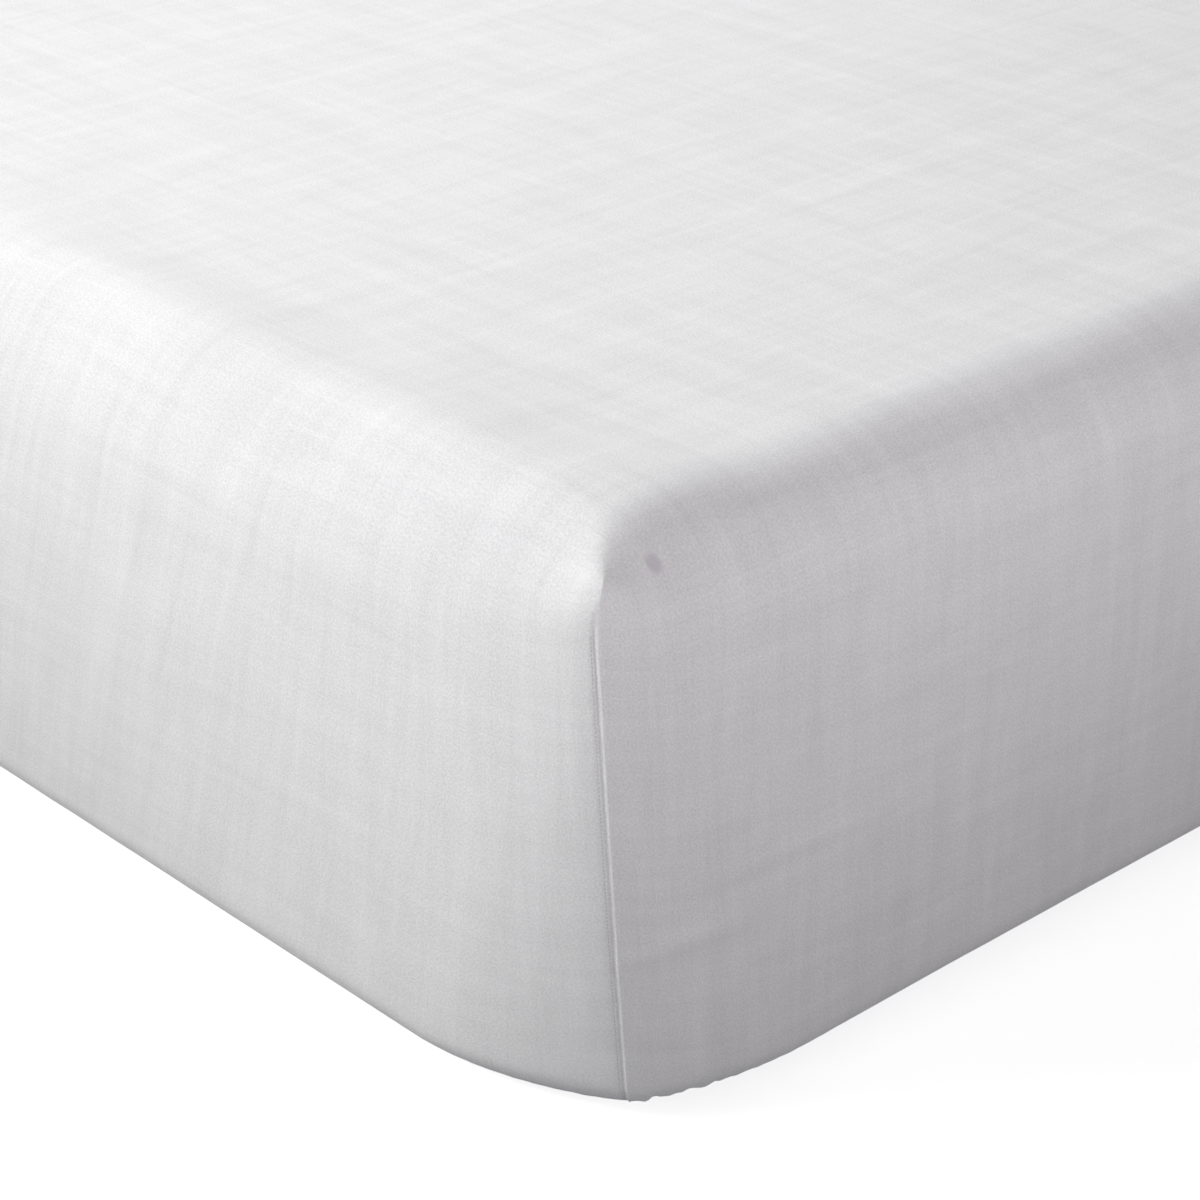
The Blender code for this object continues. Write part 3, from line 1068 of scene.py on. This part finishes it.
def sewing_thread():
    """Twisted white thread, with painted shade in its colour."""
    material, tree, shader = new_material("white polyester thread")
    place = add_node(tree, "ShaderNodeTexCoord").outputs["Object"]
    twist = add_node(
        tree,
        "ShaderNodeTexWave",
        {"Vector": place, "Scale": CREST_DISTANCE / TWIST_PITCH},
        bands_direction="DIAGONAL",
    )
    # Both colours are darker than white thread: painted shade of the sunk stitch, and in the
    # dark bands painted shade between the plies.
    colour = add_node(
        tree,
        "ShaderNodeMix",
        {"Factor": twist.outputs["Fac"], "A": linear("#C4C4C8"), "B": linear("#E2E2E4")},
        data_type="RGBA",
    )
    tree.links.new(colour.outputs["Result"], shader.inputs["Base Color"])
    shader.inputs["Roughness"].default_value = 0.6
    return material


stitch_mesh.materials.append(sewing_thread())
print("made", stitch_mesh.materials[0].name)

# %% [markdown]
# ### Mattress cover
#
# A knitted cover is thicker and softer than the sheet, in a slightly yellower white. It
# shows no thread, only a fuzz in tufts of about 2.4 mm, so plain noise in the object's
# own coordinates does, without a map.

# %% Knitted cover
TUFT_SIZE = 0.00238
TUFT_RELIEF = 0.0002


def knitted_cover():
    """A fuzzy off-white cover."""
    material, tree, shader = new_material("off-white knitted cover")
    place = add_node(tree, "ShaderNodeTexCoord").outputs["Object"]
    fuzz = add_node(tree, "ShaderNodeTexNoise", {"Vector": place, "Scale": 1 / TUFT_SIZE})
    colour = add_node(
        tree,
        "ShaderNodeMix",
        {"Factor": fuzz.outputs["Fac"], "A": linear("#D9D6CF"), "B": linear("#EFEDE8")},
        data_type="RGBA",
    )
    tree.links.new(colour.outputs["Result"], shader.inputs["Base Color"])
    tufts = add_node(
        tree, "ShaderNodeBump", {"Height": fuzz.outputs["Fac"], "Distance": TUFT_RELIEF}
    )
    tree.links.new(tufts.outputs["Normal"], shader.inputs["Normal"])
    shader.inputs["Roughness"].default_value = 0.95
    return material


mattress_mesh.materials.append(knitted_cover())
print("made", mattress_mesh.materials[0].name)

# %% [markdown]
# ## Floor and light
#
# A plain pale floor under studio lights. The main one stands behind the bed at the left
# and rakes across the top, so the right side is the shaded one. Three weak fills lift the
# sides, and two narrow strips pick out the rims. The shade in the photograph is faintly
# rosy at the right and bluish low down, so the lights at the right and the sky are
# tinted. Three more fills light the parts of the sides that the photograph doesn't show.
# The floor is a light table that glows, so that the foot stands out on it. It passes no
# light on to the cloth, as if black cards beside the bed stopped it, because the sides
# grow darker towards the foot in the photograph. A sky alone would light all sides alike.

# %% Floor
FLOOR_SIZE = 60.0
FLOOR_GLOW = 0.65
FLOOR_GAP = 0.0005
floor_mesh = bpy.data.meshes.new("floor")
reach = FLOOR_SIZE / 2
floor_mesh.from_pydata(
    [(-reach, -reach, 0), (reach, -reach, 0), (reach, reach, 0), (-reach, reach, 0)],
    [],
    [(0, 1, 2, 3)],
)
floor = bpy.data.objects.new("floor", floor_mesh)
floor.location.z = -FLOOR_GAP
scene.collection.objects.link(floor)
floor_paint, _, floor_shader = new_material("pale floor")
floor_shader.inputs["Base Color"].default_value = linear("#F8F8F8")
floor_shader.inputs["Roughness"].default_value = 0.9
floor_shader.inputs["Emission Color"].default_value = linear("#FFFFFF")
floor_shader.inputs["Emission Strength"].default_value = FLOOR_GLOW
floor_mesh.materials.append(floor_paint)
floor.visible_diffuse = False
floor.visible_glossy = False
print("floor is", FLOOR_SIZE, "m wide")

# %% Lights
# Each points at its aim from so many degrees round it and above it, at a distance in
# metres. Spread is the angle that the light's grid lets through, narrow for the strips
# and for the fills that may light only a part.
AT_CORNER = (0.76, -1.015, 0.30)
OVER_FRONT = (0.45, -1.015, 0.42)
OVER_RIGHT = (0.76, -0.75, 0.42)
AT_BACK = (-0.10, 1.015, 0.11)
AT_FAR_RIGHT = (0.76, 0.65, 0.18)
AT_FAR_FRONT = (-0.65, -1.015, 0.18)
NEUTRAL = "#FFFFFF"
ROSY = "#FFFAFD"
BLUISH = "#FBFAFF"
SKY_GLOW = 0.20
Light = namedtuple("Light", "name aim round above distance width height spread watts colour")
LIGHTS = (
    Light("back_left_softbox", AT_CORNER, 240, 30, 2.8, 1.2, 1.2, 180, 46.6, NEUTRAL),
    Light("front_left_fill", AT_CORNER, 320, 15, 1.2, 0.7, 0.7, 180, 5.7, NEUTRAL),
    Light("front_fill", AT_CORNER, 0, 5, 1.6, 0.7, 0.7, 180, 3.9, NEUTRAL),
    Light("right_fill", AT_CORNER, 90, 14, 2.0, 0.7, 0.7, 180, 4.9, ROSY),
    Light("front_strip", OVER_FRONT, 325, 25, 1.3, 1.0, 0.3, 45, 0.74, NEUTRAL),
    Light("right_strip", OVER_RIGHT, 95, 8, 1.3, 1.0, 0.3, 45, 0.71, ROSY),
    Light("back_fill", AT_BACK, 185, 3, 2.0, 1.6, 0.3, 90, 3.6, NEUTRAL),
    Light("far_right_fill", AT_FAR_RIGHT, 90, 10, 1.6, 0.6, 0.4, 48, 0.7, NEUTRAL),
    Light("far_front_fill", AT_FAR_FRONT, 0, 10, 1.6, 0.4, 0.4, 40, 0.4, NEUTRAL),
)

for row in LIGHTS:
    lamp = bpy.data.lights.new(row.name, "AREA")
    lamp.shape = "RECTANGLE"
    lamp.size = row.width
    lamp.size_y = row.height
    lamp.spread = math.radians(row.spread)
    lamp.energy = row.watts
    lamp.color = linear(row.colour)[:3]
    round_, above = math.radians(row.round), math.radians(row.above)
    across = math.cos(above)
    way = Vector((math.sin(round_) * across, -math.cos(round_) * across, math.sin(above)))
    holder = bpy.data.objects.new(row.name, lamp)
    holder.location = Vector(row.aim) + way * row.distance
    holder.rotation_mode = "QUATERNION"
    holder.rotation_quaternion = way.to_track_quat("Z", "Y")
    holder.visible_camera = False
    scene.collection.objects.link(holder)

world = bpy.data.worlds.new("soft sky")
world.use_nodes = True
sky = world.node_tree.nodes["Background"]
sky.inputs["Color"].default_value = linear(BLUISH)
sky.inputs["Strength"].default_value = SKY_GLOW
scene.world = world
scene.view_settings.view_transform = "Standard"
print("lit by", len(LIGHTS), "soft lights and the sky")

# %% [markdown]
# ## Attach to the body
#
# Each piece rides on the one body, and the sheet and the mattress stand for their solids,
# which are hidden.

for piece, node, material_slot in (
    (sheet, "sheet", "sheet_cloth"),
    (mattress, "mattress", "mattress_ticking"),
):
    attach(piece, "root")
    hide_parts(node)
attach(stitches, "root")
